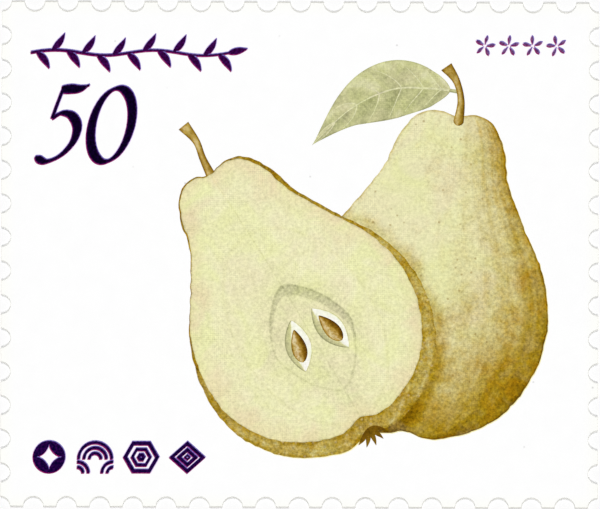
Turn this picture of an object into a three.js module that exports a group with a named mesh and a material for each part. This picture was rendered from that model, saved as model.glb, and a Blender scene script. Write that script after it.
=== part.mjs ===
import * as THREE from 'three';

// A self-adhesive postage stamp with die-cut perforations, in millimetres.
// It lies flat with its printed face towards +Z. The origin is at the middle of the underside.

// Size over the tips of the perforation teeth
const stampWidth = 30.0;
const stampHeight = 25.35;

// Perforations: half-round bites, centred on the edge line, with one on each corner
const pitchesAcross = 18;
const pitchesUp = 15;
const biteRadius = 0.49;
const toothFillet = 0.05;
const biteSteps = 10;
const filletSteps = 2;

// Layers, from the underside up
const adhesiveThickness = 0.02;
const paperThickness = 0.1;

// Where a tooth's fillet meets the bite: its centre's reach along the edge, and the angle of the join
const filletReach = Math.sqrt((biteRadius + toothFillet) ** 2 - toothFillet ** 2);
const joinAngle = Math.asin(toothFillet / (biteRadius + toothFillet));

// Points of an arc, with its last point left to the arc or line that follows
function arcPoints(centre, radius, from, to, steps) {
	const points = [];
	for (let i = 0; i < steps; i++) {
		const angle = THREE.MathUtils.lerp(from, to, i / steps);
		const arm = new THREE.Vector2(Math.cos(angle), Math.sin(angle));
		points.push(arm.multiplyScalar(radius).add(centre));
	}
	return points;
}

// One side in its own axes: x runs from corner to corner, y points into the paper
function sidePoints(length, pitches) {
	const pitch = length / pitches;
	const points = [];

	const bite = (x, from) => {
		points.push(...arcPoints(new THREE.Vector2(x, 0), biteRadius, from, joinAngle, biteSteps));
	};
	const toothEnd = (x) => {
		const centre = new THREE.Vector2(x - filletReach, toothFillet);
		points.push(...arcPoints(centre, toothFillet, -Math.PI / 2, -joinAngle, filletSteps));
	};
	const toothStart = (x) => {
		const centre = new THREE.Vector2(x + filletReach, toothFillet);
		points.push(...arcPoints(centre, toothFillet, Math.PI + joinAngle, Math.PI * 1.5, filletSteps));
		points.push(new THREE.Vector2(x + filletReach, 0));
	};

	bite(0, Math.PI / 2 - joinAngle);
	for (let i = 1; i < pitches; i++) {
		toothStart((i - 1) * pitch);
		toothEnd(i * pitch);
		bite(i * pitch, Math.PI - joinAngle);
	}
	toothStart((pitches - 1) * pitch);
	toothEnd(length);
	return points;
}

// The whole perforated outline, anticlockwise from the lower left corner
function stampOutline() {
	const outline = [];
	const corner = new THREE.Vector2(-stampWidth / 2, -stampHeight / 2);
	const origin = new THREE.Vector2();
	for (let side = 0; side < 4; side++) {
		const across = side % 2 === 0;
		const length = across ? stampWidth : stampHeight;
		const turn = side * Math.PI / 2;
		for (const point of sidePoints(length, across ? pitchesAcross : pitchesUp)) {
			outline.push(point.rotateAround(origin, turn).add(corner));
		}
		corner.add(new THREE.Vector2(length, 0).rotateAround(origin, turn));
	}
	return outline;
}

// One layer of the stamp, cut to the outline
function layer(name, bottom, thickness, material) {
	const shape = new THREE.Shape(stampOutline());
	const geometry = new THREE.ExtrudeGeometry(shape, { depth: thickness, bevelEnabled: false });
	const mesh = new THREE.Mesh(geometry, material);
	mesh.name = name;
	mesh.position.z = bottom;
	return mesh;
}

// Clear pressure-sensitive adhesive, with a faint straw tint
const adhesive = new THREE.MeshStandardMaterial({ color: 0xf3efdf, roughness: 0.3, metalness: 0 });

// White coated paper
const paper = new THREE.MeshStandardMaterial({ color: 0xfcfcfa, roughness: 0.6, metalness: 0 });

const group = new THREE.Group();
group.add(layer('adhesive_film', 0, adhesiveThickness, adhesive));
group.add(layer('face_paper', adhesiveThickness, paperThickness, paper));

export default group;
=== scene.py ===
import bmesh
import bpy
import math
from mathutils import Matrix, Vector, noise
from mathutils.kdtree import KDTree


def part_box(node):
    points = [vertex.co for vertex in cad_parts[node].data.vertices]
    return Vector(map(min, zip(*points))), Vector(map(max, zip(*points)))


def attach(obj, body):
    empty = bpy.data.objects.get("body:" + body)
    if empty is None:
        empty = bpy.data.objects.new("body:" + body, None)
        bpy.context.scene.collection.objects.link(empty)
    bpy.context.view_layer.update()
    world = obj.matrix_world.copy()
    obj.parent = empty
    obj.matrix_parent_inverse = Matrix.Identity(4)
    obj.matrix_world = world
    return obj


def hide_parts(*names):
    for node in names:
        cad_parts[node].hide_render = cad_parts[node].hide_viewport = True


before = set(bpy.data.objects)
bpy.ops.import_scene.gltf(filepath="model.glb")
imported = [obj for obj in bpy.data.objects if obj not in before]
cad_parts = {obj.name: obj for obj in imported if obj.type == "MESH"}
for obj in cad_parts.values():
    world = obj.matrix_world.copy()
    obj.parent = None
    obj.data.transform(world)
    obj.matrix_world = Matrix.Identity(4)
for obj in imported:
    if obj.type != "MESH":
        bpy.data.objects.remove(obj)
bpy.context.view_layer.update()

# A self-adhesive stamp lies face up. The scene is in metres, and the print is drawn in millimetres.
mm = 0.001
paperLow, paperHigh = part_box("face_paper")
glueLow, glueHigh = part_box("adhesive_film")

# The inks stand on the paper in thin layers, and the top layer ends at the top of the CAD box.
inkLayer = 0.002 * mm
inkLayers = 6
paperTop = paperHigh.z - inkLayer * inkLayers

# Two ways for a Mix node to put one colour on another: cover it, or tint it
covering = {"data_type": "RGBA"}
tinting = {"data_type": "RGBA", "blend_type": "MULTIPLY"}


def linear(hexColour):
    channels = [int(hexColour[i:i + 2], 16) / 255 for i in (1, 3, 5)]
    return (*[c / 12.92 if c <= 0.04045 else ((c + 0.055) / 1.055) ** 2.4 for c in channels], 1.0)


def addNode(tree, kind, settings=None, links=None, stops=None):
    # a link's value is a node, a socket, a hex colour or a plain value
    node = tree.nodes.new(kind)
    for name, value in (settings or {}).items():
        setattr(node, name, value)
    for name, value in (links or {}).items():
        socket = node.inputs[name] if isinstance(name, int) else next(
            s for s in node.inputs if s.enabled and s.name == name)
        if isinstance(value, bpy.types.Node):
            value = next(s for s in value.outputs if s.enabled)
        if isinstance(value, bpy.types.NodeSocket):
            tree.links.new(value, socket)
        else:
            socket.default_value = linear(value) if isinstance(value, str) else value
    if stops:
        ramp = node.color_ramp.elements
        ramp.remove(ramp[1])
        for i, (place, colour) in enumerate(stops):
            stop = ramp[0] if i == 0 else ramp.new(place)
            stop.position = place
            stop.color = linear(colour)
    return node


def newMaterial(name):
    material = bpy.data.materials.new(name)
    material.use_nodes = True
    material.node_tree.nodes.clear()
    return material, material.node_tree


def finishMaterial(tree, colour, roughness, settings, height=None, strength=0.2, depth=0.002 * mm):
    links = {"Base Color": colour, "Roughness": roughness}
    links.update(settings)
    if height:
        links["Normal"] = addNode(tree, "ShaderNodeBump",
                                  links={"Strength": strength, "Distance": depth, "Height": height})
    shader = addNode(tree, "ShaderNodeBsdfPrincipled", links=links)
    addNode(tree, "ShaderNodeOutputMaterial", links={"Surface": shader})


def activate(*pieces):
    bpy.ops.object.select_all(action="DESELECT")
    for piece in pieces:
        piece.select_set(True)
    bpy.context.view_layer.objects.active = pieces[0]


def editAll(piece):
    activate(piece)
    bpy.ops.object.mode_set(mode="EDIT")
    bpy.ops.mesh.select_all(action="SELECT")


def editEdges(piece, wanted):
    activate(piece)
    bpy.ops.object.mode_set(mode="EDIT")
    bpy.ops.mesh.select_mode(type="EDGE")
    bpy.ops.mesh.select_all(action="DESELECT")
    mesh = bmesh.from_edit_mesh(piece.data)
    for edge in mesh.edges:
        edge.select_set(bool(wanted(edge)))
    bmesh.update_edit_mesh(piece.data)


def endEdit():
    bpy.ops.object.mode_set(mode="OBJECT")


def join(pieces):
    activate(*pieces)
    bpy.ops.object.join()
    return bpy.context.object


def copyOf(piece):
    activate(piece)
    bpy.ops.object.duplicate()
    return bpy.context.object


def cut(piece, tool):
    activate(piece)
    bpy.ops.object.modifier_add(type="BOOLEAN")
    modifier = piece.modifiers[-1]
    modifier.operation = "DIFFERENCE"
    modifier.solver = "EXACT"
    modifier.object = tool
    bpy.ops.object.modifier_apply(modifier=modifier.name)
    bpy.data.objects.remove(tool)


def settle(piece, name, material, slot, *replaced):
    # puts the piece's place into its mesh, and gives it its name, material and body
    activate(piece)
    bpy.ops.object.transform_apply(location=True, rotation=True, scale=True)
    piece.name = piece.data.name = name
    piece.data.materials.clear()
    piece.data.materials.append(material)
    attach(piece, "root")
    for node in replaced:
        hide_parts(node)
    return piece


# Pale floor, pale room, and one soft lamp above the stamp and one below it, which leave its sides unshaded
stageLook = {
    "floorSize": 6.0,
    "floorDrop": 0.001 * mm,
    "floorColour": "#fbfbfb",
    "lampDistance": 0.7,
    "lampHeight": 44,  # degrees above the table
    "lampSize": 0.18,
    "lampPower": 3.145,
    "fill": 0.12,
    "lens": 200,
    "sensor": 36,
    "clip": (0.01, 10),
    "viewWidth": 30.072 * mm,
    "roll": 0.19,  # degrees that the stamp lies turned in the view
    "aim": (0.012 * mm, 0.012 * mm),  # and how far it lies to the left of the middle and below it
}


def makeStage():
    bpy.ops.mesh.primitive_plane_add(size=stageLook["floorSize"], location=(0, 0, -stageLook["floorDrop"]))
    floor = bpy.context.object
    floor.name = "floor"
    material, tree = newMaterial("pale matt card")
    shader = addNode(tree, "ShaderNodeBsdfDiffuse", links={"Color": stageLook["floorColour"]})
    addNode(tree, "ShaderNodeOutputMaterial", links={"Surface": shader})
    floor.data.materials.append(material)

    rise = math.radians(stageLook["lampHeight"])
    for name, side in (("lampAbove", 1), ("lampBelow", -1)):
        place = Vector((0, side * math.cos(rise), math.sin(rise))) * stageLook["lampDistance"]
        aim = place.to_track_quat("Z", "Y").to_euler()
        bpy.ops.object.light_add(type="AREA", location=place, rotation=aim)
        lamp = bpy.context.object
        lamp.name = name
        lamp.data.shape = "SQUARE"
        lamp.data.size = stageLook["lampSize"]
        lamp.data.energy = stageLook["lampPower"]

    # the room is seen white, and lights the stamp only a little
    world = bpy.data.worlds.new("pale room")
    bpy.context.scene.world = world
    world.use_nodes = True
    tree = world.node_tree
    tree.nodes.clear()
    ray = addNode(tree, "ShaderNodeLightPath")
    seen = ray.outputs["Is Camera Ray"]
    for way in ("Is Glossy Ray", "Is Transmission Ray"):
        seen = addNode(tree, "ShaderNodeMath", {"operation": "MAXIMUM"}, {0: seen, 1: ray.outputs[way]})
    strength = addNode(tree, "ShaderNodeMapRange",
                       links={"Value": seen, "To Min": stageLook["fill"], "To Max": 1.0})
    background = addNode(tree, "ShaderNodeBackground", links={"Color": "#ffffff", "Strength": strength})
    addNode(tree, "ShaderNodeOutputWorld", links={"Surface": background})

    height = stageLook["viewWidth"] * stageLook["lens"] / stageLook["sensor"]
    bpy.ops.object.camera_add(location=(*stageLook["aim"], paperHigh.z + height),
                              rotation=(0, 0, math.radians(stageLook["roll"])))
    camera = bpy.context.object
    camera.data.lens = stageLook["lens"]
    camera.data.sensor_width = stageLook["sensor"]
    camera.data.clip_start, camera.data.clip_end = stageLook["clip"]
    bpy.context.scene.camera = camera
    bpy.context.scene.view_settings.view_transform = "Standard"
    print("stage: floor, two lamps, room and camera")


sheetLook = {
    "pitchesAcross": 18,
    "pitchesUp": 15,
    "biteRadius": 0.49 * mm,
    "biteSides": 56,
    "toothFillet": 0.05 * mm,
    "rolledEdge": 0.02 * mm,  # the die presses the top edge slightly round
    "corner": 60,  # degrees: sharper turns of the outline get the fillet
    "smooth": 35,  # degrees: gentler turns are shaded smooth
    "shortest": 0.0005 * mm,  # shorter edges are dissolved
    "creep": 0.018 * mm,  # the adhesive creeps this far past the paper's cut
    "shrunk": (0.999, 0.9976),  # and the paper has dried a little smaller, the more so across its grain
    "white": "#fdfdfd",
    "shade": "#fcfcfc",
    "cloud": 0.9 * mm,
    "tooth": 0.05 * mm,  # the coat's own grain of a few microns wouldn't show, so it is drawn this coarse
    "edgeTint": "#fffffa",  # the adhesive yellows the paper very faintly from its cut edges inwards
    "tintWidth": 0.75 * mm,
    "fleck": (3.4 * mm, 0.07 * mm, "#a4a4a2", 0.42),  # gap, radius, colour and share of the pulp's specks
    # the cut edge's two greys are partly painted shade, which darkens the line along the outline
    "cut": "#dcdcda",
    "cutShade": "#c2c2bf",
    "fibres": (12, 12, 60),  # to a millimetre each way, four times as coarse as real pulp, so that they show
    "glue": "#f9f8f3",
    "glueShade": "#f1f0e8",
    "streaks": (2.5, 0.16),  # to a millimetre, across and along the coating
    "ripple": 0.35 * mm,
}


def coatedPaper():
    # wood-free paper with a calendered clay coat: bright, even and nearly matt, with a very fine tooth
    material, tree = newMaterial("coated stamp paper")
    coords = addNode(tree, "ShaderNodeTexCoord").outputs["Object"]
    cloud = addNode(tree, "ShaderNodeTexNoise",
                    links={"Vector": coords, "Scale": 1 / sheetLook["cloud"], "Detail": 4})
    white = addNode(tree, "ShaderNodeValToRGB", links={0: cloud},
                    stops=[(0.35, sheetLook["shade"]), (0.6, sheetLook["white"])])

    # the tint fades from the nearest side of the outline inwards
    inwards = addNode(tree, "ShaderNodeVectorMath", {"operation": "ABSOLUTE"}, {0: coords})
    inwards = addNode(tree, "ShaderNodeVectorMath", {"operation": "SUBTRACT"}, {0: inwards, 1: paperHigh})
    sides = addNode(tree, "ShaderNodeSeparateXYZ", links={0: inwards})
    nearest = addNode(tree, "ShaderNodeMath", {"operation": "MAXIMUM"},
                      {0: sides.outputs["X"], 1: sides.outputs["Y"]})
    near = addNode(tree, "ShaderNodeMapRange",
                   links={"Value": nearest, "From Min": -sheetLook["tintWidth"], "From Max": 0})
    tint = addNode(tree, "ShaderNodeMix", covering,
                   {"Factor": near, "A": "#ffffff", "B": sheetLook["edgeTint"]})
    white = addNode(tree, "ShaderNodeMix", tinting, {"Factor": 1.0, "A": white, "B": tint})

    # specks of pulp, of every strength up to their full colour
    gap, radius, grey, share = sheetLook["fleck"]
    flecks = addNode(tree, "ShaderNodeTexVoronoi", {"voronoi_dimensions": "2D"},
                     {"Vector": coords, "Scale": 1 / gap})
    fleck = addNode(tree, "ShaderNodeMapRange",
                    links={"Value": flecks, "From Max": radius / gap, "To Min": 1, "To Max": 0})
    kept = addNode(tree, "ShaderNodeMapRange",
                   links={"Value": flecks.outputs["Color"], "From Max": share, "To Min": 1, "To Max": 0})
    fleck = addNode(tree, "ShaderNodeMath", {"operation": "MULTIPLY"}, {0: fleck, 1: kept})
    white = addNode(tree, "ShaderNodeMix", covering, {"Factor": fleck, "A": white, "B": grey})

    tooth = addNode(tree, "ShaderNodeTexNoise",
                    links={"Vector": coords, "Scale": 1 / sheetLook["tooth"], "Detail": 3})
    rough = addNode(tree, "ShaderNodeMapRange", links={"Value": tooth, "To Min": 0.54, "To Max": 0.66})
    finishMaterial(tree, white, rough, {"IOR": 1.5, "Specular IOR Level": 0.25}, tooth, 0.12)
    return material


def cutEdgeWithShade():
    # the die shears the sheet, so the edge shows torn fibre ends in thin layers, greyer than the coat; this
    # grey is partly painted shade, which darkens the line along the outline
    material, tree = newMaterial("die-cut paper edge")
    coords = addNode(tree, "ShaderNodeTexCoord").outputs["Object"]
    layers = addNode(tree, "ShaderNodeMapping",
                     links={"Vector": coords, "Scale": [count / mm for count in sheetLook["fibres"]]})
    fibres = addNode(tree, "ShaderNodeTexNoise",
                     links={"Vector": layers, "Scale": 1.0, "Detail": 4, "Roughness": 0.7})
    colour = addNode(tree, "ShaderNodeValToRGB", links={0: fibres},
                     stops=[(0.3, sheetLook["cutShade"]), (0.65, sheetLook["cut"])])
    finishMaterial(tree, colour, 0.9, {"IOR": 1.5, "Specular IOR Level": 0.2}, fibres, 0.6, 0.006 * mm)
    return material


def adhesive():
    # acrylic adhesive coated by knife: clear, faintly straw, with a soft gloss and coating streaks
    material, tree = newMaterial("acrylic adhesive film")
    coords = addNode(tree, "ShaderNodeTexCoord").outputs["Object"]
    across, lengthwise = sheetLook["streaks"]
    streaks = addNode(tree, "ShaderNodeMapping",
                      links={"Vector": coords, "Scale": (across / mm, lengthwise / mm, 1)})
    coat = addNode(tree, "ShaderNodeTexNoise", links={"Vector": streaks, "Scale": 1.0, "Detail": 3})
    colour = addNode(tree, "ShaderNodeValToRGB", links={0: coat},
                     stops=[(0.3, sheetLook["glueShade"]), (0.7, sheetLook["glue"])])
    ripple = addNode(tree, "ShaderNodeTexNoise",
                     links={"Vector": coords, "Scale": 1 / sheetLook["ripple"], "Detail": 2})
    rough = addNode(tree, "ShaderNodeMapRange", links={"Value": coat, "To Min": 0.22, "To Max": 0.4})
    finishMaterial(tree, colour, rough, {"IOR": 1.47}, ripple, 0.25, 0.004 * mm)
    return material


def punchCentres():
    across, up = sheetLook["pitchesAcross"], sheetLook["pitchesUp"]
    size = paperHigh - paperLow
    for i in range(across + 1):
        for y in (paperLow.y, paperHigh.y):
            yield paperLow.x + size.x * i / across, y
    for i in range(1, up):
        for x in (paperLow.x, paperHigh.x):
            yield x, paperLow.y + size.y * i / up


def cutPlate(low, high, isPaper):
    # only the paper stands back from the outline and has its top edge rolled
    centre, size = (low + high) / 2, high - low
    creep = sheetLook["creep"] if isPaper else 0
    bpy.ops.mesh.primitive_cube_add(size=1, location=centre)
    plate = bpy.context.object
    plate.scale = size - Vector((2 * creep, 2 * creep, 0))
    bpy.ops.object.transform_apply(location=True, scale=True)

    pins = []
    for x, y in punchCentres():
        bpy.ops.mesh.primitive_cylinder_add(vertices=sheetLook["biteSides"], depth=mm,
                                            radius=sheetLook["biteRadius"] + creep, location=(x, y, centre.z))
        pins.append(bpy.context.object)
    cut(plate, join(pins))

    editEdges(plate, lambda edge: abs(edge.verts[0].co.z - edge.verts[1].co.z) > size.z / 2
              and edge.calc_face_angle(0) > math.radians(sheetLook["corner"]))
    bpy.ops.mesh.bevel(offset=sheetLook["toothFillet"], segments=3, affect="EDGES")
    endEdit()
    if isPaper:
        plate.scale.xy = sheetLook["shrunk"]
        editEdges(plate, lambda edge: min(v.co.z for v in edge.verts) > high.z - size.z / 10)
        bpy.ops.mesh.bevel(offset=sheetLook["rolledEdge"], segments=3, affect="EDGES")
        endEdit()
    editAll(plate)
    bpy.ops.mesh.dissolve_degenerate(threshold=sheetLook["shortest"])
    endEdit()
    return plate


def makeSheet():
    paper = cutPlate(paperLow, Vector((paperHigh.x, paperHigh.y, paperTop)), True)
    settle(paper, "stamp_paper", coatedPaper(), "paper", "face_paper")

    # the cut sides are bare paper, greyed partly with painted shade, and everything but the flat faces is
    # shaded smooth
    paper.data.materials.append(cutEdgeWithShade())
    for face in paper.data.polygons:
        face.material_index = 1 if abs(face.normal.z) < 0.3 else 0
    glue = cutPlate(glueLow, glueHigh, False)
    settle(glue, "stamp_adhesive", adhesive(), "adhesive", "adhesive_film")
    for piece in (paper, glue):
        activate(piece)
        bpy.ops.object.shade_smooth_by_angle(angle=math.radians(sheetLook["smooth"]))
        for face in piece.data.polygons:
            face.use_smooth = abs(face.normal.z) < 0.999
    print("sheet: paper and adhesive")


# Shapes of ink are drawn in millimetres and one unit thick, then laid on the paper.
hairline = 0.012  # the finest line that prints
weld = 0.0005  # nearer points become one


def mapGrid(columns, rows, place, fields=None):
    # a grid whose u runs from -1 to 1 and v from 0 to 1, moved to the shape and made solid
    bpy.ops.mesh.primitive_grid_add(x_subdivisions=columns, y_subdivisions=rows, size=2)
    piece = bpy.context.object
    mesh = piece.data
    grid = [(vertex.co.x, (vertex.co.y + 1) / 2) for vertex in mesh.vertices]
    spots = [place(u, v) for u, v in grid]
    for vertex, spot in zip(mesh.vertices, spots):
        vertex.co = (spot.x, spot.y, 0)
    for name, field in (fields or {}).items():
        values = mesh.attributes.new(name, "FLOAT", "POINT").data
        for value, (u, v), spot in zip(values, grid, spots):
            value.value = field(u, v, spot)
    editAll(piece)
    bpy.ops.mesh.remove_doubles(threshold=weld)
    bpy.ops.mesh.extrude_region_move(TRANSFORM_OT_translate={"value": (0, 0, 1)})
    bpy.ops.mesh.select_all(action="SELECT")
    bpy.ops.mesh.normals_make_consistent(inside=False)
    endEdit()
    return piece


def along(points, v):
    # a smooth curve through the points, from the first at v = 0 to the last at v = 1
    last = len(points) - 1
    i = min(int(v * last), last - 1)
    f = v * last - i
    a, b, c, d = (Vector(points[min(max(k, 0), last)]) for k in (i - 1, i, i + 1, i + 2))
    return (2 * b + (c - a) * f + (2 * a - 5 * b + 4 * c - d) * f ** 2 + (3 * b - a - 3 * c + d) * f ** 3) / 2


def heading(path, v):
    step = path(min(v + 0.001, 1)) - path(max(v - 0.001, 0))
    return Vector((step.x, step.y)).normalized()


def penWidth(pen, direction):
    # a broad nib held at one angle draws thick across it and thin along it
    turn = math.atan2(direction.y, direction.x) - math.radians(pen["angle"])
    return math.hypot(pen["thick"] * math.sin(turn), pen["thin"] * math.cos(turn))


def strokePlace(path, width=None, pen=None, trim=0):
    # the full width in mm, or with a pen its share of the pen's own width, less what is trimmed off
    def place(u, v):
        point, direction = path(v), heading(path, v)
        wide = (width(v) if width else 1) * (penWidth(pen, direction) if pen else 1)
        wide = max(wide - trim, hairline)
        return Vector((point.x - direction.y * wide / 2 * u, point.y + direction.x * wide / 2 * u))
    return place


def stroke(path, rows, width=None, pen=None, trim=0):
    return mapGrid(1, rows, strokePlace(path, width, pen, trim))


def stack(strokes):
    # strokes that cross must not share a top face, so each stands a hair lower than the one before
    for i, piece in enumerate(strokes):
        piece.data.transform(Matrix.Diagonal((1, 1, 1 - 0.01 * i, 1)))
    return join(strokes)


def moveDrawing(piece, turn, centre):
    piece.data.transform(Matrix.Translation((*centre, 0)) @ Matrix.Rotation(math.radians(turn), 4, "Z"))
    return piece


def lay(piece, layer, shift=(0, 0)):
    piece.scale = (mm, mm, inkLayer * layer)
    piece.location = (shift[0] * mm, shift[1] * mm, paperTop)
    return piece


inkLook = {
    "colours": {  # where the ink is full, and where it is worn
        "core": ("#040010", "#13002e"),
        "dark": ("#0f0128", "#36064c"),
        "deep": ("#06002c", "#330550"),
        "thin": ("#26002f", "#440a58"),
        "pale": ("#5a2f60", "#82608a"),
        "magenta": ("#8a0a62", "#a8407f"),
        "cyan": ("#6656ac", "#9385cf"),
        "tint": ("#ecd2f4", "#f6e6fb"),
        "yellow": ("#f8eeac", "#fbf6cf"),
    },
    # how far these plates lie out of register
    "shift": {"magenta": (-0.024, -0.04), "cyan": (0.018, 0.034), "yellow": (0.035, -0.04)},
    "gain": 0.014,  # the lighter plates spread a little past the dark one
    "tintGain": 0.05,
    "coreTrim": 0.12,  # the ink lies thickest inside the broad strokes
    "mottle": 0.12 * mm,
}


def offsetInk(name, full, worn):
    # lithographic ink: thin and nearly opaque, sunk into the coat without gloss, a little broken on its tooth
    material, tree = newMaterial(name + " offset ink")
    coords = addNode(tree, "ShaderNodeTexCoord").outputs["Object"]
    cover = addNode(tree, "ShaderNodeTexNoise",
                    links={"Vector": coords, "Scale": 1 / inkLook["mottle"], "Detail": 3})
    tone = addNode(tree, "ShaderNodeValToRGB", links={0: cover}, stops=[(0.42, full), (0.68, worn)])
    rough = addNode(tree, "ShaderNodeMapRange", links={"Value": cover, "To Min": 0.6, "To Max": 0.75})
    finishMaterial(tree, tone, rough, {"IOR": 1.5, "Specular IOR Level": 0.01})
    return material


numberLook = {
    "ink": "dark",
    "at": (-13.5, 4.5),
    "slant": 11,
    "pen": {"thick": 0.48, "thin": 0.14, "angle": 24},
    "rows": 72,
    "bowl": [(0.62, 2.3), (1.05, 2.56), (1.6, 2.42), (1.96, 1.88), (1.9, 1.14), (1.42, 0.46), (0.74, 0.14),
             (0.14, 0.36)],
    "stem": [(0.62, 2.3), (0.72, 2.9), (0.84, 3.55), (0.9, 3.85)],
    "stemWidth": 0.15,
    "flag": [(0.84, 3.74), (1.3, 3.78), (1.75, 3.8), (2.16, 3.98)],
    "flagWidth": (0.08, 0.37),
    "ring": (3.66, 1.98, 0.98, 1.84),  # middle and half size
}


def makeNumber(trim=0):
    pen, lean = numberLook["pen"], math.tan(math.radians(numberLook["slant"]))
    least, swell = numberLook["flagWidth"]
    ringX, ringY, ringWide, ringHigh = numberLook["ring"]

    def slanted(name):
        return lambda v: along([(x + y * lean, y) for x, y in numberLook[name]], v)

    def ring(v):
        turn = 2 * math.pi * v
        y = ringY + ringHigh * math.sin(turn)
        return Vector((ringX + ringWide * math.cos(turn) + y * lean, y))

    bowl = stroke(slanted("bowl"), numberLook["rows"], pen=pen, trim=trim,
                  width=lambda v: min(1, (1.002 - v) / 0.07) ** 0.6)
    stem = stroke(slanted("stem"), 12, trim=trim, width=lambda v: numberLook["stemWidth"])
    flag = stroke(slanted("flag"), 24, trim=trim,
                  width=lambda v: least + swell * math.sin(math.pi * min(v * 0.88 + 0.22, 1)) ** 0.8)
    zero = stroke(ring, numberLook["rows"], pen=pen, trim=trim)
    return moveDrawing(stack([zero, bowl, stem, flag]), 0, numberLook["at"])


def leaflet(x, y, turn, length, width, bend=0.0, fullest=0.85):
    piece = stroke(lambda v: Vector((length * v, bend * math.sin(math.pi * v))), 14,
                   width=lambda v: hairline + width * math.sin(math.pi * v ** fullest))
    return moveDrawing(piece, turn, (x, y))


sprigLook = {
    "ink": "thin",
    "ends": (-13.5, -3.62),
    "height": 10.1,
    "wave": 0.13,
    "waves": 2.0,
    "stem": (1.15, 0.75),  # shares of its width at the start and the end
    "stemWidth": 0.095,
    "leaves": 13,
    "leafLength": 1.06,
    "leafWidth": 0.29,
    "leafTurn": 52,
    "leafBend": 0.08,
    "lastLeaf": (12, 0.95),  # turn, and share of the others' length
}


def makeSprig():
    start, end = sprigLook["ends"]
    thick, fine = sprigLook["stem"]
    length, width, bend = (sprigLook["leaf" + part] for part in ("Length", "Width", "Bend"))
    lastTurn, lastShare = sprigLook["lastLeaf"]

    def stemPath(v):
        wave = sprigLook["wave"] * math.sin(2 * math.pi * sprigLook["waves"] * v)
        return Vector((start + (end - start) * v, sprigLook["height"] + wave))

    sprig = stroke(stemPath, 90, width=lambda v: sprigLook["stemWidth"] * (thick + (fine - thick) * v))
    leaves = [leaflet(end - 0.03, stemPath(1).y, lastTurn, length * lastShare, width)]
    for i in range(sprigLook["leaves"]):
        spot = stemPath((i + 0.35) / sprigLook["leaves"])
        side = 1 if i % 2 else -1
        leaves.append(leaflet(spot.x, spot.y, side * sprigLook["leafTurn"], length, width, side * -bend))
    return stack([sprig] + leaves)


def hollow(sides, radius, width, squash=1.0):
    # a closed band with sharp corners, just inside a regular polygon round the origin
    inner = radius - width / math.cos(math.pi / sides)

    def place(u, v):
        turn, reach = 2 * math.pi * v, radius if u < 0 else inner
        return Vector((reach * math.cos(turn), reach * math.sin(turn) * squash))
    return mapGrid(1, sides, place)


def linkedRings(radius, point, sides):
    # where rings overlap they leave a four-pointed star, cut here out of a disc
    bow = math.hypot(radius - point, radius)

    def place(u, v):
        turn = 2 * math.pi * v
        across = radius * (abs(math.cos(turn)) + abs(math.sin(turn)))
        reach = radius if u < 0 else across - math.sqrt(across ** 2 - 2 * radius ** 2 + bow ** 2)
        return Vector((reach * math.cos(turn), reach * math.sin(turn)))
    return mapGrid(1, sides, place)


def arc(x, y, radius, start, end, width, rows):
    def path(v):
        turn = math.radians(start + (end - start) * v)
        return Vector((x + radius * math.cos(turn), y + radius * math.sin(turn)))
    return stroke(path, rows, width=lambda v: width)


tileLook = {
    "ink": "deep",
    "first": -12.53,
    "pitch": 2.31,
    "height": -10.17,
    "half": (0.9, 0.8),
    "star": 0.17,
    "waves": (0.83, 0.56, 0.29),
    "waveLine": 0.13,
    "shell": [(1, 0.17), (0.58, 0.13), (0.24, 0.153)],  # each band's share of the tile, and its line
    "lozenge": [(1, 0.17), (0.6, 0.17), (0.2, 0.09)],
}


def makeTiles():
    # four old textile patterns: linked rings, waves, tortoiseshell and lozenge
    wide, high = tileLook["half"]
    line = tileLook["waveLine"]
    rings = linkedRings(high, high - tileLook["star"], 64)

    waves = [arc(0, -0.1, radius, 0, 180, line, 28) for radius in tileLook["waves"]]
    for side, start in ((-1, 0), (1, 90)):
        for radius in tileLook["waves"][1:]:
            waves.append(arc(side * wide, -high, radius, start, start + 90, line, 14))
    waves = stack(waves)

    shell = join([hollow(6, wide * share, band) for share, band in tileLook["shell"]])
    lozenge = join([hollow(4, wide * share, band, high / wide) for share, band in tileLook["lozenge"]])
    tiles = [rings, waves, shell, lozenge]
    for i, tile in enumerate(tiles):
        moveDrawing(tile, 0, (tileLook["first"] + tileLook["pitch"] * i, tileLook["height"]))
    return join(tiles)


blossomLook = {
    "ink": "pale",
    "first": 9.25,
    "pitch": 1.2,
    "height": 10.5,
    "count": 4,
    "turn": 9,  # degrees from one blossom to the next
    "petals": 5,
    "inner": 0.1,
    "length": 0.4,
    "width": 0.11,
}


def makeBlossoms():
    petals = []
    for i in range(blossomLook["count"]):
        for k in range(blossomLook["petals"]):
            turn = 360 * k / blossomLook["petals"] + 90 + blossomLook["turn"] * (i - 1.5)
            way = Vector((math.cos(math.radians(turn)), math.sin(math.radians(turn)))) * blossomLook["inner"]
            petals.append(leaflet(blossomLook["first"] + blossomLook["pitch"] * i + way.x,
                                  blossomLook["height"] + way.y, turn, blossomLook["length"],
                                  blossomLook["width"], fullest=1.5))
    return join(petals)


def fatten(piece, gain):
    # at its rim a solid's normals lean up by 45 degrees, so this grows it sideways by the gain
    editAll(piece)
    bpy.ops.transform.shrink_fatten(value=gain * math.sqrt(2))
    endEdit()
    return piece


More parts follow.
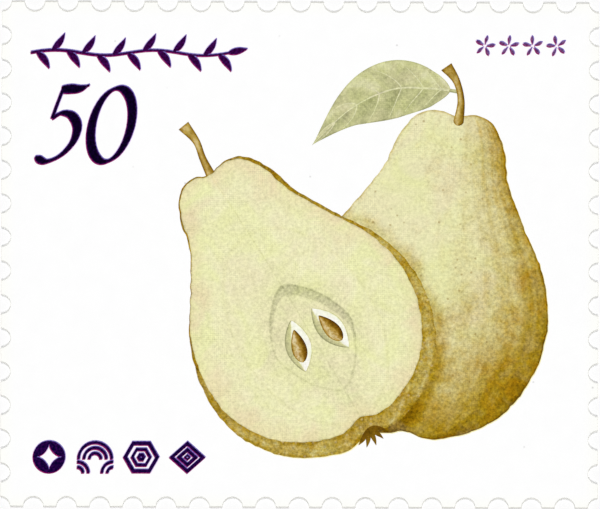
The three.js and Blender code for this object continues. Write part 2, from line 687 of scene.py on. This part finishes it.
def makeViolet(inks):
    # a number, and ornaments where a stamp has lines of type; lighter plates show as fringes under the violet
    for name, shape, look in (("number", makeNumber(), numberLook), ("leaf_ornament", makeSprig(), sprigLook),
                              ("pattern_ornament", makeTiles(), tileLook),
                              ("blossom_ornament", makeBlossoms(), blossomLook)):
        for layer, ink in enumerate(("magenta", "cyan")):
            piece = lay(fatten(copyOf(shape), inkLook["gain"]), layer + 1, inkLook["shift"][ink])
            settle(piece, name + "_" + ink, inks[ink], "violet_ink")
        tint = lay(fatten(copyOf(shape), inkLook["tintGain"]), 0.5)
        settle(tint, name + "_tint", inks["tint"], "violet_ink")
        settle(lay(shape, 3), name + "_violet", inks[look["ink"]], "violet_ink")
    settle(lay(makeNumber(inkLook["coreTrim"]), 4), "number_core", inks["core"], "violet_ink")
    print("violet print: number and ornaments")


# The picture is drawn as watercolour washes: a whole pear, a halved pear, their stems and a leaf.
sun = Vector((-0.48, 0.56, 0.68)).normalized()
washTints = [(0.34, "#fdfafe"), (0.5, "#fdfefb"), (0.66, "#fafeee")]  # how a wash drifts in hue as it dries
printLook = {
    "pitch": 0.104 * mm,  # a fine screen, of 245 lines to an inch
    "ruling": 0.04,
    "patch": 1.6 * mm,
    "dots": 0.15 * mm,
    "dotless": 1.25,
}


def addTone(tree, tone, value, amount, middle=0.5):
    # adds a share of a value to a tone; a noise texture swings round its middle
    shifted = addNode(tree, "ShaderNodeMath", {"operation": "SUBTRACT"}, {0: value, 1: middle})
    return addNode(tree, "ShaderNodeMath", {"operation": "MULTIPLY_ADD"}, {0: shifted, 1: amount, 2: tone})


def printed(tree, coords, colour, tone, contrast):
    # four inks in fine screens: their dots speckle the darker tones more, and show in patches as a weave
    dots = addNode(tree, "ShaderNodeTexNoise",
                   links={"Vector": coords, "Scale": 1 / printLook["dots"], "Detail": 2, "Roughness": 0.85})
    contrast = addNode(tree, "ShaderNodeMath", {"operation": "MULTIPLY_ADD"},
                       {0: tone, 1: -contrast, 2: contrast * printLook["dotless"]})
    dotted = addTone(tree, 1.0, dots, contrast)
    colour = addNode(tree, "ShaderNodeMix", tinting, {"Factor": 1.0, "A": colour, "B": dotted})

    ruled = colour
    for angle in (0, 90):
        turned = addNode(tree, "ShaderNodeMapping",
                         links={"Vector": coords, "Rotation": (0, 0, math.radians(angle))})
        lines = addNode(tree, "ShaderNodeTexWave", {"wave_profile": "SIN"},
                        {"Vector": turned, "Scale": math.pi / (10 * printLook["pitch"]), "Distortion": 0.0})
        weave = addNode(tree, "ShaderNodeMapRange",
                        links={"Value": lines.outputs["Fac"], "To Min": 1 - printLook["ruling"],
                               "To Max": 1 + printLook["ruling"]})
        ruled = addNode(tree, "ShaderNodeMix", tinting, {"Factor": 1.0, "A": ruled, "B": weave})
    patch = addNode(tree, "ShaderNodeTexNoise",
                    links={"Vector": coords, "Scale": 1 / printLook["patch"], "Detail": 1})
    patch = addNode(tree, "ShaderNodeMapRange", links={"Value": patch, "From Min": 0.45, "From Max": 0.65})
    return addNode(tree, "ShaderNodeMix", covering, {"Factor": patch, "A": colour, "B": ruled})


def watercolour(name, paint):
    # transparent washes on rough paper: blooms, brush streaks, pigment in the grain, and a darker dried rim
    material, tree = newMaterial(name)
    texture = addNode(tree, "ShaderNodeTexCoord")
    coords, brush = texture.outputs["Object"], texture.outputs["UV"]
    bloomSize, bloomAmount = paint["bloom"]
    bloom = addNode(tree, "ShaderNodeTexNoise",
                    links={"Vector": coords, "Scale": 1 / (bloomSize * mm), "Detail": 3})
    across, lengthwise, streakAmount = paint["streak"]
    comb = addNode(tree, "ShaderNodeMapping", links={"Vector": brush, "Scale": (across, lengthwise, 1)})
    streak = addNode(tree, "ShaderNodeTexNoise", links={"Vector": comb, "Scale": 1.0, "Detail": 2})
    grainSize, grainAmount = paint["grain"]
    grain = addNode(tree, "ShaderNodeTexNoise",
                    links={"Vector": coords, "Scale": 1 / (grainSize * mm), "Detail": 3.5, "Roughness": 0.7})

    # the tone starts from the light on the form; a line darkens it on one side, and a ridge on both
    lines, ridges = paint.get("lines", {}), paint.get("ridges", {})
    drawn = {name: addNode(tree, "ShaderNodeAttribute", {"attribute_name": name}).outputs["Fac"]
             for name in ("form", *lines, *ridges)}
    tone = drawn["form"]
    for swing, amount in ((bloom, bloomAmount), (streak, streakAmount), (grain, grainAmount)):
        tone = addTone(tree, tone, swing, amount)
    for group in (lines, ridges):
        for line, (width, depth) in group.items():
            distance = addTone(tree, drawn[line], bloom, width)
            if group is ridges:
                distance = addNode(tree, "ShaderNodeMath", {"operation": "ABSOLUTE"}, {0: distance})
            near = addNode(tree, "ShaderNodeMapRange", {"interpolation_type": "SMOOTHSTEP"},
                           {"Value": distance, "From Max": width, "To Min": 1.0, "To Max": 0.0})
            tone = addTone(tree, tone, near, -depth, 0)
    colour = addNode(tree, "ShaderNodeValToRGB", links={0: tone}, stops=paint["tones"])

    drift = addNode(tree, "ShaderNodeTexNoise",
                    links={"Vector": coords, "Scale": 1 / (bloomSize * mm), "Detail": 3, "Distortion": 0.8})
    tint = addNode(tree, "ShaderNodeValToRGB", links={0: drift}, stops=washTints)
    colour = addNode(tree, "ShaderNodeMix", tinting, {"Factor": 1.0, "A": colour, "B": tint})
    if "glaze" in paint:
        # in the deeper tones the pigments part into greyer and warmer patches
        patchSize, greyer, warmer, most = paint["glaze"]
        parting = addNode(tree, "ShaderNodeTexNoise",
                          links={"Vector": coords, "Scale": 1 / (patchSize * mm), "Detail": 3,
                                 "Distortion": 0.5})
        deep = addNode(tree, "ShaderNodeMapRange",
                       links={"Value": tone, "From Min": 0.72, "From Max": 0.42, "To Max": most})
        for pigment, start, end in ((greyer, 0.5, 0.66), (warmer, 0.5, 0.36)):
            share = addNode(tree, "ShaderNodeMapRange",
                            links={"Value": parting, "From Min": start, "From Max": end})
            share = addNode(tree, "ShaderNodeMath", {"operation": "MULTIPLY"}, {0: share, 1: deep})
            colour = addNode(tree, "ShaderNodeMix", covering, {"Factor": share, "A": colour, "B": pigment})
    if "warmRim" in paint:
        width, warmth = paint["warmRim"]
        edge = addTone(tree, drawn["rim"], drift, 3)
        warm = addNode(tree, "ShaderNodeMapRange", links={"Value": edge, "From Max": width})
        warm = addNode(tree, "ShaderNodeValToRGB", links={0: warm}, stops=[(0, warmth), (1, "#ffffff")])
        colour = addNode(tree, "ShaderNodeMix", tinting, {"Factor": 1.0, "A": colour, "B": warm})
    if "speck" in paint:
        gap, radius, pigment, strength = paint["speck"]
        cells = addNode(tree, "ShaderNodeTexVoronoi", links={"Vector": coords, "Scale": 1 / (gap * mm)})
        kept = addNode(tree, "ShaderNodeMath", {"operation": "GREATER_THAN"},
                       {0: cells.outputs["Color"], 1: 0.5})
        dot = addNode(tree, "ShaderNodeMapRange", {"interpolation_type": "SMOOTHSTEP"},
                      {"Value": cells, "From Min": radius / gap * 0.5, "From Max": radius / gap * 1.6,
                       "To Min": strength, "To Max": 0.0})
        dot = addNode(tree, "ShaderNodeMath", {"operation": "MULTIPLY"}, {0: dot, 1: kept})
        colour = addNode(tree, "ShaderNodeMix", covering, {"Factor": dot, "A": colour, "B": pigment})
    colour = printed(tree, coords, colour, tone, paint["dots"])
    finishMaterial(tree, colour, 0.65, {"IOR": 1.5, "Specular IOR Level": 0.02})
    return material


# Half the width and half the length of a pear from its calyx up to its stem, as shares of the widest,
# with a mirrored point past each end so that the curve closes smoothly
pearProfile = [(-0.36, -0.96), (0, -1), (0.36, -0.96), (0.72, -0.8), (0.95, -0.52), (1, -0.22), (0.9, 0.08),
               (0.68, 0.36), (0.5, 0.6), (0.42, 0.8), (0.28, 0.95), (0, 1), (-0.28, 0.95)]


def pearShape(look):
    # a pear as a body turned about its axis, seen from the side; v runs from the calyx to the stem
    turn = Matrix.Rotation(math.radians(look["turn"]), 2)
    last = len(pearProfile) - 1

    def outline(v):
        share = along(pearProfile, (1 + v * (last - 2)) / last)
        return share.x * look["width"] / 2, share.y * look["length"] / 2

    def place(u, v):
        # two slow waves keep the sides from being too even, and both ends have a dimple
        half, y = outline(v)
        wobble = 1 + look["wobble"] * (math.sin(9.4 * v + 1.3 * u) + 0.6 * math.sin(22 * v - 2 * u))
        x = half * math.sin(u * math.pi / 2) * wobble
        end = 2 * y / look["length"]
        depth, width = look["dimple"]
        y -= depth * math.exp(-(x / width) ** 2) * math.copysign(end ** 14, end)
        x += look["lean"] * v ** 2
        spot = turn @ (Vector((x, y)) * look["scale"]) + Vector(look["centre"])

        # on rough paper the brush leaves a ragged outline, x and y apart from each other
        size, amount = look["ragged"]
        here = Vector((spot.x, spot.y, 0)) / size
        return spot + Vector((noise.noise(here), noise.noise(here + Vector((0, 0, 40))))) * amount

    def form(u, v, spot):
        (below, low), (above, high) = outline(max(v - 0.01, 0)), outline(min(v + 0.01, 1))
        side = u * math.pi / 2
        flat = turn @ Vector(((high - low) * math.sin(side), below - above))
        return Vector((flat.x, flat.y, (high - low) * math.cos(side))).normalized().dot(sun) * 0.5 + 0.5

    return place, form


def distanceTo(place, samples=900):
    # distance in mm from a spot to the outline of a mapped shape
    tree = KDTree(samples * 2)
    for i in range(samples):
        for side in (-1, 1):
            spot = place(side, (i + 0.5) / samples)
            tree.insert((spot.x, spot.y, 0), i)
    tree.balance()
    return lambda u, v, spot: tree.find((spot.x, spot.y, 0))[2]


def roundStroke(path, width, grid, light=sun):
    # a rod, a seed or its cavity, shaded round its own axis
    def form(u, v, spot):
        direction, side = heading(path, v), u * math.pi / 2
        normal = Vector((-direction.y * math.sin(side), direction.x * math.sin(side), math.cos(side)))
        return normal.dot(light) * 0.5 + 0.5

    length = (path(1) - path(0)).length
    return mapGrid(*grid, strokePlace(path, width), {
        "form": form, "rim": lambda u, v, spot: (1 - abs(u)) * width(v) / 2,
        "end": lambda u, v, spot: (1 - v) * length})


def evenTone(piece, tone):
    for value in piece.data.attributes.new("form", "FLOAT", "POINT").data:
        value.value = tone
    return piece


# A paint's tones run from the darkest to the lightest. Its bloom and grain have a size in mm and a strength,
# its streak a count across, a count along and a strength, and its lines and ridges a width in mm and a depth.
pearLook = {
    "width": 12.6, "length": 16.7, "wobble": 0.006, "dimple": (0.35, 0.8), "lean": 0.4,
    "ragged": (0.36, 0.055), "turn": -8, "centre": (6.4, -0.9), "scale": 1.0, "grid": (90, 160),
    "paint": {
        "tones": [(0.05, "#694c00"), (0.2, "#886806"), (0.36, "#a4861c"), (0.5, "#b9a04c"), (0.64, "#cdbe7e"),
                  (0.8, "#dfd6a4"), (0.95, "#e9e5b6")],
        "bloom": (2.4, 0.3), "streak": (26, 3.2, 0.3), "grain": (0.5, 0.35), "dots": 2.3,
        "lines": {"rim": (0.14, 0.2), "contact": (0.9, 0.3)},
        "speck": (0.42, 0.055, "#8a6516", 0.5),  # gap, radius, colour and strength
        "glaze": (1.0, "#a99667", "#a46f04", 0.3),  # size, the greyer and the warmer pigment, and strength
    },
}


def makeWholePear(yellow):
    # lit as a round body; it darkens where the halved pear touches it
    place, form = pearShape(pearLook)
    besideIt, _ = pearShape(halfLook)
    whole = mapGrid(*pearLook["grid"], place,
                    {"form": form, "rim": distanceTo(place), "contact": distanceTo(besideIt)})
    fringe = lay(copyOf(whole), 0.4, inkLook["shift"]["yellow"])
    settle(fringe, "whole_pear_yellow", yellow, "picture_ink")
    settle(lay(whole, 1), "whole_pear", watercolour("russet skin wash", pearLook["paint"]), "picture_ink")
    print("picture: whole pear")


halfLook = {
    "width": 12.2, "length": 16.0, "wobble": 0.007, "dimple": (0.4, 0.8), "lean": -0.5,
    "ragged": (0.36, 0.055), "turn": 30, "centre": (-0.3, -2.3), "scale": 1.0, "grid": (90, 160),
    "light": 0.5,
    "paint": dict(pearLook["paint"], lines={"rim": (0.2, 0.14), "contact": (0.3, 0.14)}, grain=(0.4, 0.7),
                  dots=2.5, speck=(0.24, 0.06, "#cdbb90", 0.4)),
}
fleshLook = dict(halfLook, scale=0.94, centre=(-0.57, -2.0), light=0.84, paint={
    "tones": [(0.1, "#a19f76"), (0.3, "#bdbb90"), (0.48, "#cecba0"), (0.64, "#dcd9aa"), (0.8, "#eae6b8"),
              (0.95, "#f1eec5")],
    "bloom": (1.9, 0.16), "streak": (18, 3, 0.06), "grain": (0.5, 0.25), "dots": 1.7,
    "lines": {"rim": (0.1, 0.25), "core": (1.2, 0.08), "hollow": (0.1, 0.3)},
    "ridges": {"core": (0.09, 0.16), "fibre": (0.07, 0.12), "vein": (0.12, 0.07)},
    "warmRim": (1.1, "#fcf4f0"),
})
coreLook = {
    "centre": (0.0, -2.1),  # in the half pear's own axes
    "half": (2.1, 3.0),
    "point": 1.5,
    "depth": (0.02, -0.42),  # its floor shows this far from its mouth
    "vein": (3.5, 5.4),
    "veinRise": 0.7,
}


def inHalf(spot):
    # a spot measured from the half pear's own centre and axis
    local = Matrix.Rotation(math.radians(-halfLook["turn"]), 2) @ (spot - Vector(halfLook["centre"]))
    local.x -= halfLook["lean"] * (local.y / halfLook["length"] + 0.5) ** 2
    return local


def lens(half, centre, point):
    # signed distance to a rounded lens; the nearer its point is to 1, the sharper its ends
    def distance(u, v, spot):
        local = inHalf(spot) - centre
        size = (abs(local.x / half.x) ** point + abs(local.y / half.y) ** point) ** (1 / point)
        return (size - 1) * min(half)
    return distance


def makeHalfPear(yellow):
    # a rim of peel round pale flesh, with the core's outline, a ring of veins and the fibre down the middle
    place, _ = pearShape(halfLook)
    fleshPlace, _ = pearShape(fleshLook)
    peel = mapGrid(*halfLook["grid"], place, {"form": lambda u, v, spot: halfLook["light"],
                                              "rim": distanceTo(place), "contact": distanceTo(fleshPlace)})
    fringe = lay(copyOf(peel), 0.7, inkLook["shift"]["yellow"])
    settle(fringe, "half_pear_yellow", yellow, "picture_ink")
    settle(lay(peel, 2), "half_pear_peel", watercolour("russet peel wash", halfLook["paint"]), "picture_ink")

    middle, half, depth, vein = (Vector(coreLook[key]) for key in ("centre", "half", "depth", "vein"))
    sunk = Matrix.Rotation(math.radians(-halfLook["turn"]), 2) @ depth
    core, floor = (lens(half, centre, coreLook["point"]) for centre in (middle, middle + sunk))
    flesh = mapGrid(*fleshLook["grid"], fleshPlace, {
        "form": lambda u, v, spot: fleshLook["light"], "rim": distanceTo(fleshPlace), "core": core,
        "hollow": lambda u, v, spot: max(core(u, v, spot), -floor(u, v, spot)),
        "vein": lens(vein, middle + Vector((0, coreLook["veinRise"])), 2),
        "fibre": lambda u, v, spot: inHalf(spot).x})
    settle(lay(flesh, 4), "half_pear_flesh", watercolour("flesh wash", fleshLook["paint"]), "picture_ink")
    print("picture: halved pear")


seedLook = {
    "offset": 0.92,  # from the core's middle to either side
    "splay": 14,
    "cavity": (2.7, 1.3),  # length and width
    "seed": (1.7, 0.74),
    "tip": 0.02,
    "grid": (12, 30),
    "cavityPaint": {
        "tones": [(0.14, "#a3a178"), (0.4, "#c4c192"), (0.62, "#d9d69e"), (0.7, "#f3f1dc"), (0.9, "#fbfaf2")],
        "bloom": (1.2, 0.1), "streak": (4, 2, 0.05), "grain": (0.4, 0.4), "dots": 1.2,
        "lines": {"rim": (0.09, 0.3)},
    },
    "seedPaint": {
        "tones": [(0.1, "#4a2f06"), (0.4, "#6b4708"), (0.65, "#8f6a16"), (0.85, "#b8964a"),
                  (0.97, "#ddcba0")],
        "bloom": (0.8, 0.2), "streak": (4, 1, 0.2), "grain": (0.3, 0.6), "dots": 1.7,
        "lines": {"rim": (0.08, 0.15)},
    },
}


def makeSeeds():
    # a seed in its cavity on either side of the core; a cavity is lit as a hollow, from the other side
    y = Vector(coreLook["centre"]).y
    fromBelow = Vector((-sun.x, -sun.y, sun.z))
    cavities, seeds = [], []
    for side in (-1, 1):
        x = side * seedLook["offset"]
        splay = Matrix.Rotation(math.radians(side * seedLook["splay"]), 4, "Z")
        swing = Matrix.Translation((x, y, 0)) @ splay @ Matrix.Translation((-x, -y, 0))
        for kind, group, fullest, light in (("cavity", cavities, 1.0, fromBelow), ("seed", seeds, 0.75, sun)):
            length, width = seedLook[kind]
            rod = roundStroke(lambda v: Vector((x, y + length * (v - 0.5))),
                              lambda v: seedLook["tip"] + width * math.sin(math.pi * v ** fullest) ** 0.8,
                              seedLook["grid"], light)
            rod.data.transform(swing)
            group.append(moveDrawing(rod, halfLook["turn"], halfLook["centre"]))
    for pieces, name, layer, finish, paint in (
            (cavities, "half_pear_cavities", 5, "core wash", seedLook["cavityPaint"]),
            (seeds, "half_pear_seeds", 6, "seed wash", seedLook["seedPaint"])):
        settle(lay(join(pieces), layer), name, watercolour(finish, paint), "picture_ink")
    print("picture: seeds")


stemLook = {
    "whole": [(7.9, 6.5), (8.06, 7.7), (7.84, 8.7), (7.32, 9.45)],
    "half": [(-4.25, 3.55), (-4.85, 4.75), (-5.2, 5.65), (-5.85, 6.45)],
    "width": (0.56, 0.36, 0.62),  # at the fruit, in the middle and at the cut end
    "foot": 0.08,  # the share over which it narrows into the fruit
    "grid": (10, 40),
    "paint": {
        "tones": [(0.1, "#553a04"), (0.35, "#77560c"), (0.6, "#977522"), (0.8, "#b89a4e"), (0.95, "#d4bd84")],
        "bloom": (0.9, 0.4), "streak": (3, 8, 0.3), "grain": (0.4, 0.6), "dots": 1.8,
        "lines": {"rim": (0.1, 0.15), "end": (0.25, 0.2)},
    },
}
calyxLook = {
    "at": (3.42, -8.7),
    "turns": (-4, -32, -62, -92, -118),  # one for each sepal
    "length": 0.95,
    "width": 0.24,
    "bend": 0.06,
    "light": 0.35,
    "paint": dict(stemLook["paint"], lines={}),
}


def makeCalyx():
    sepals = [leaflet(*calyxLook["at"], turn, calyxLook["length"], calyxLook["width"], calyxLook["bend"])
              for turn in calyxLook["turns"]]
    calyx = evenTone(stack(sepals), calyxLook["light"])
    settle(lay(calyx, 3), "half_pear_calyx", watercolour("calyx wash", calyxLook["paint"]), "picture_ink")
    print("picture: calyx")


def makeStems():
    bottom, waist, top = stemLook["width"]

    def width(v):
        narrowed = min(1, (v + 0.004) / stemLook["foot"]) ** 0.5
        return along([(0, bottom), (0, waist), (0, waist), (0, top)], v).y * narrowed

    wash = watercolour("stem wash", stemLook["paint"])
    for name, layer in (("whole", 5), ("half", 3)):
        rod = roundStroke(lambda v: along(stemLook[name], v), width, stemLook["grid"])
        settle(lay(rod, layer), name + "_pear_stem", wash, "picture_ink")
    print("picture: stems")


leafLook = {
    "spine": [(7.9, 8.2), (6.6, 8.35), (4.6, 8.3), (2.5, 7.3), (0.6, 5.5)],
    "stalk": 0.1,  # the spine's share before the blade
    "stalkWidth": 0.19,
    "width": 2.8,
    "grid": (28, 90),
    "light": (0.63, 0.47),  # on the two sides of the blade
    "edgeLight": 0.12,
    "swell": 0.08,  # how much the light changes from vein to vein
    "paint": {
        "tones": [(0.1, "#7d7e50"), (0.3, "#9b9c6c"), (0.5, "#b7b787"), (0.7, "#cbc998"), (0.9, "#dedcb2")],
        "bloom": (1.6, 0.45), "streak": (6, 14, 0.25), "grain": (0.5, 0.6), "dots": 1.6,
        "lines": {"rim": (0.1, 0.2)},
    },
    "midrib": (0.11, 0.98),  # the spine's shares where it starts and ends
    "veins": 6,
    "veinReach": (0.86, 0.12),  # shares of the blade's half width and, on towards the tip, of the spine
    "veinWidth": (0.065, 0.02),  # from the midrib to the tip
    "midribWidth": (0.12, 0.03),
    "veinLight": 0.6,
    "veinPaint": {
        "tones": [(0.2, "#c4c394"), (0.8, "#e4e2ba")],
        "bloom": (1.0, 0.3), "streak": (2, 8, 0.2), "grain": (0.4, 0.5), "dots": 1.6,
    },
}


def leafBlade(v):
    # the full width: a short stalk, then a blade that runs out to a point
    spread = max(0, (v - leafLook["stalk"]) / (1 - leafLook["stalk"]))
    bulge = math.sin(math.pi * spread ** 0.9) ** (0.9 + 0.6 * spread)
    return leafLook["stalkWidth"] * (1 - v) + leafLook["width"] * bulge


def leafForm(u, v, spot):
    # each side has its own light, and swells between its veins
    upper, lower = leafLook["light"]
    swell = math.sin(2 * math.pi * (leafLook["veins"] * v - 0.9 * abs(u)))
    return (upper if u < 0 else lower) + leafLook["edgeLight"] * abs(u) + leafLook["swell"] * swell


def makeLeaf():
    def spine(v):
        return along(leafLook["spine"], v)

    place = strokePlace(spine, leafBlade)
    leaf = mapGrid(*leafLook["grid"], place, {
        "form": leafForm, "rim": lambda u, v, spot: (1 - abs(u)) * leafBlade(v) / 2})
    settle(lay(leaf, 2), "pear_leaf", watercolour("leaf wash", leafLook["paint"]), "picture_ink")

    # the midrib, and pairs of veins that lean on towards the tip
    first, last = leafLook["midrib"]
    thick, fine = leafLook["midribWidth"]
    veins = [stroke(lambda v: spine(first + (last - first) * v), 60,
                    width=lambda v: thick + (fine - thick) * v)]
    stalk, count, (out, on) = leafLook["stalk"], leafLook["veins"], leafLook["veinReach"]
    thick, fine = leafLook["veinWidth"]
    for i in range(count):
        start = stalk + (1 - stalk) * (i + 0.6) / (count + 0.8)
        for side in (-1, 1):
            veins.append(stroke(lambda v: place(side * out * v, min(start + on * v ** 1.3, last)), 14,
                                width=lambda v: thick + (fine - thick) * v))
    veins = evenTone(stack(veins), leafLook["veinLight"])
    wash = watercolour("leaf vein wash", leafLook["veinPaint"])
    settle(lay(veins, 3), "pear_leaf_veins", wash, "picture_ink")
    print("picture: leaf")


makeStage()
makeSheet()
inks = {name: offsetInk(name, *colours) for name, colours in inkLook["colours"].items()}
makeViolet(inks)
makeWholePear(inks["yellow"])
makeHalfPear(inks["yellow"])
makeSeeds()
makeCalyx()
makeStems()
makeLeaf()
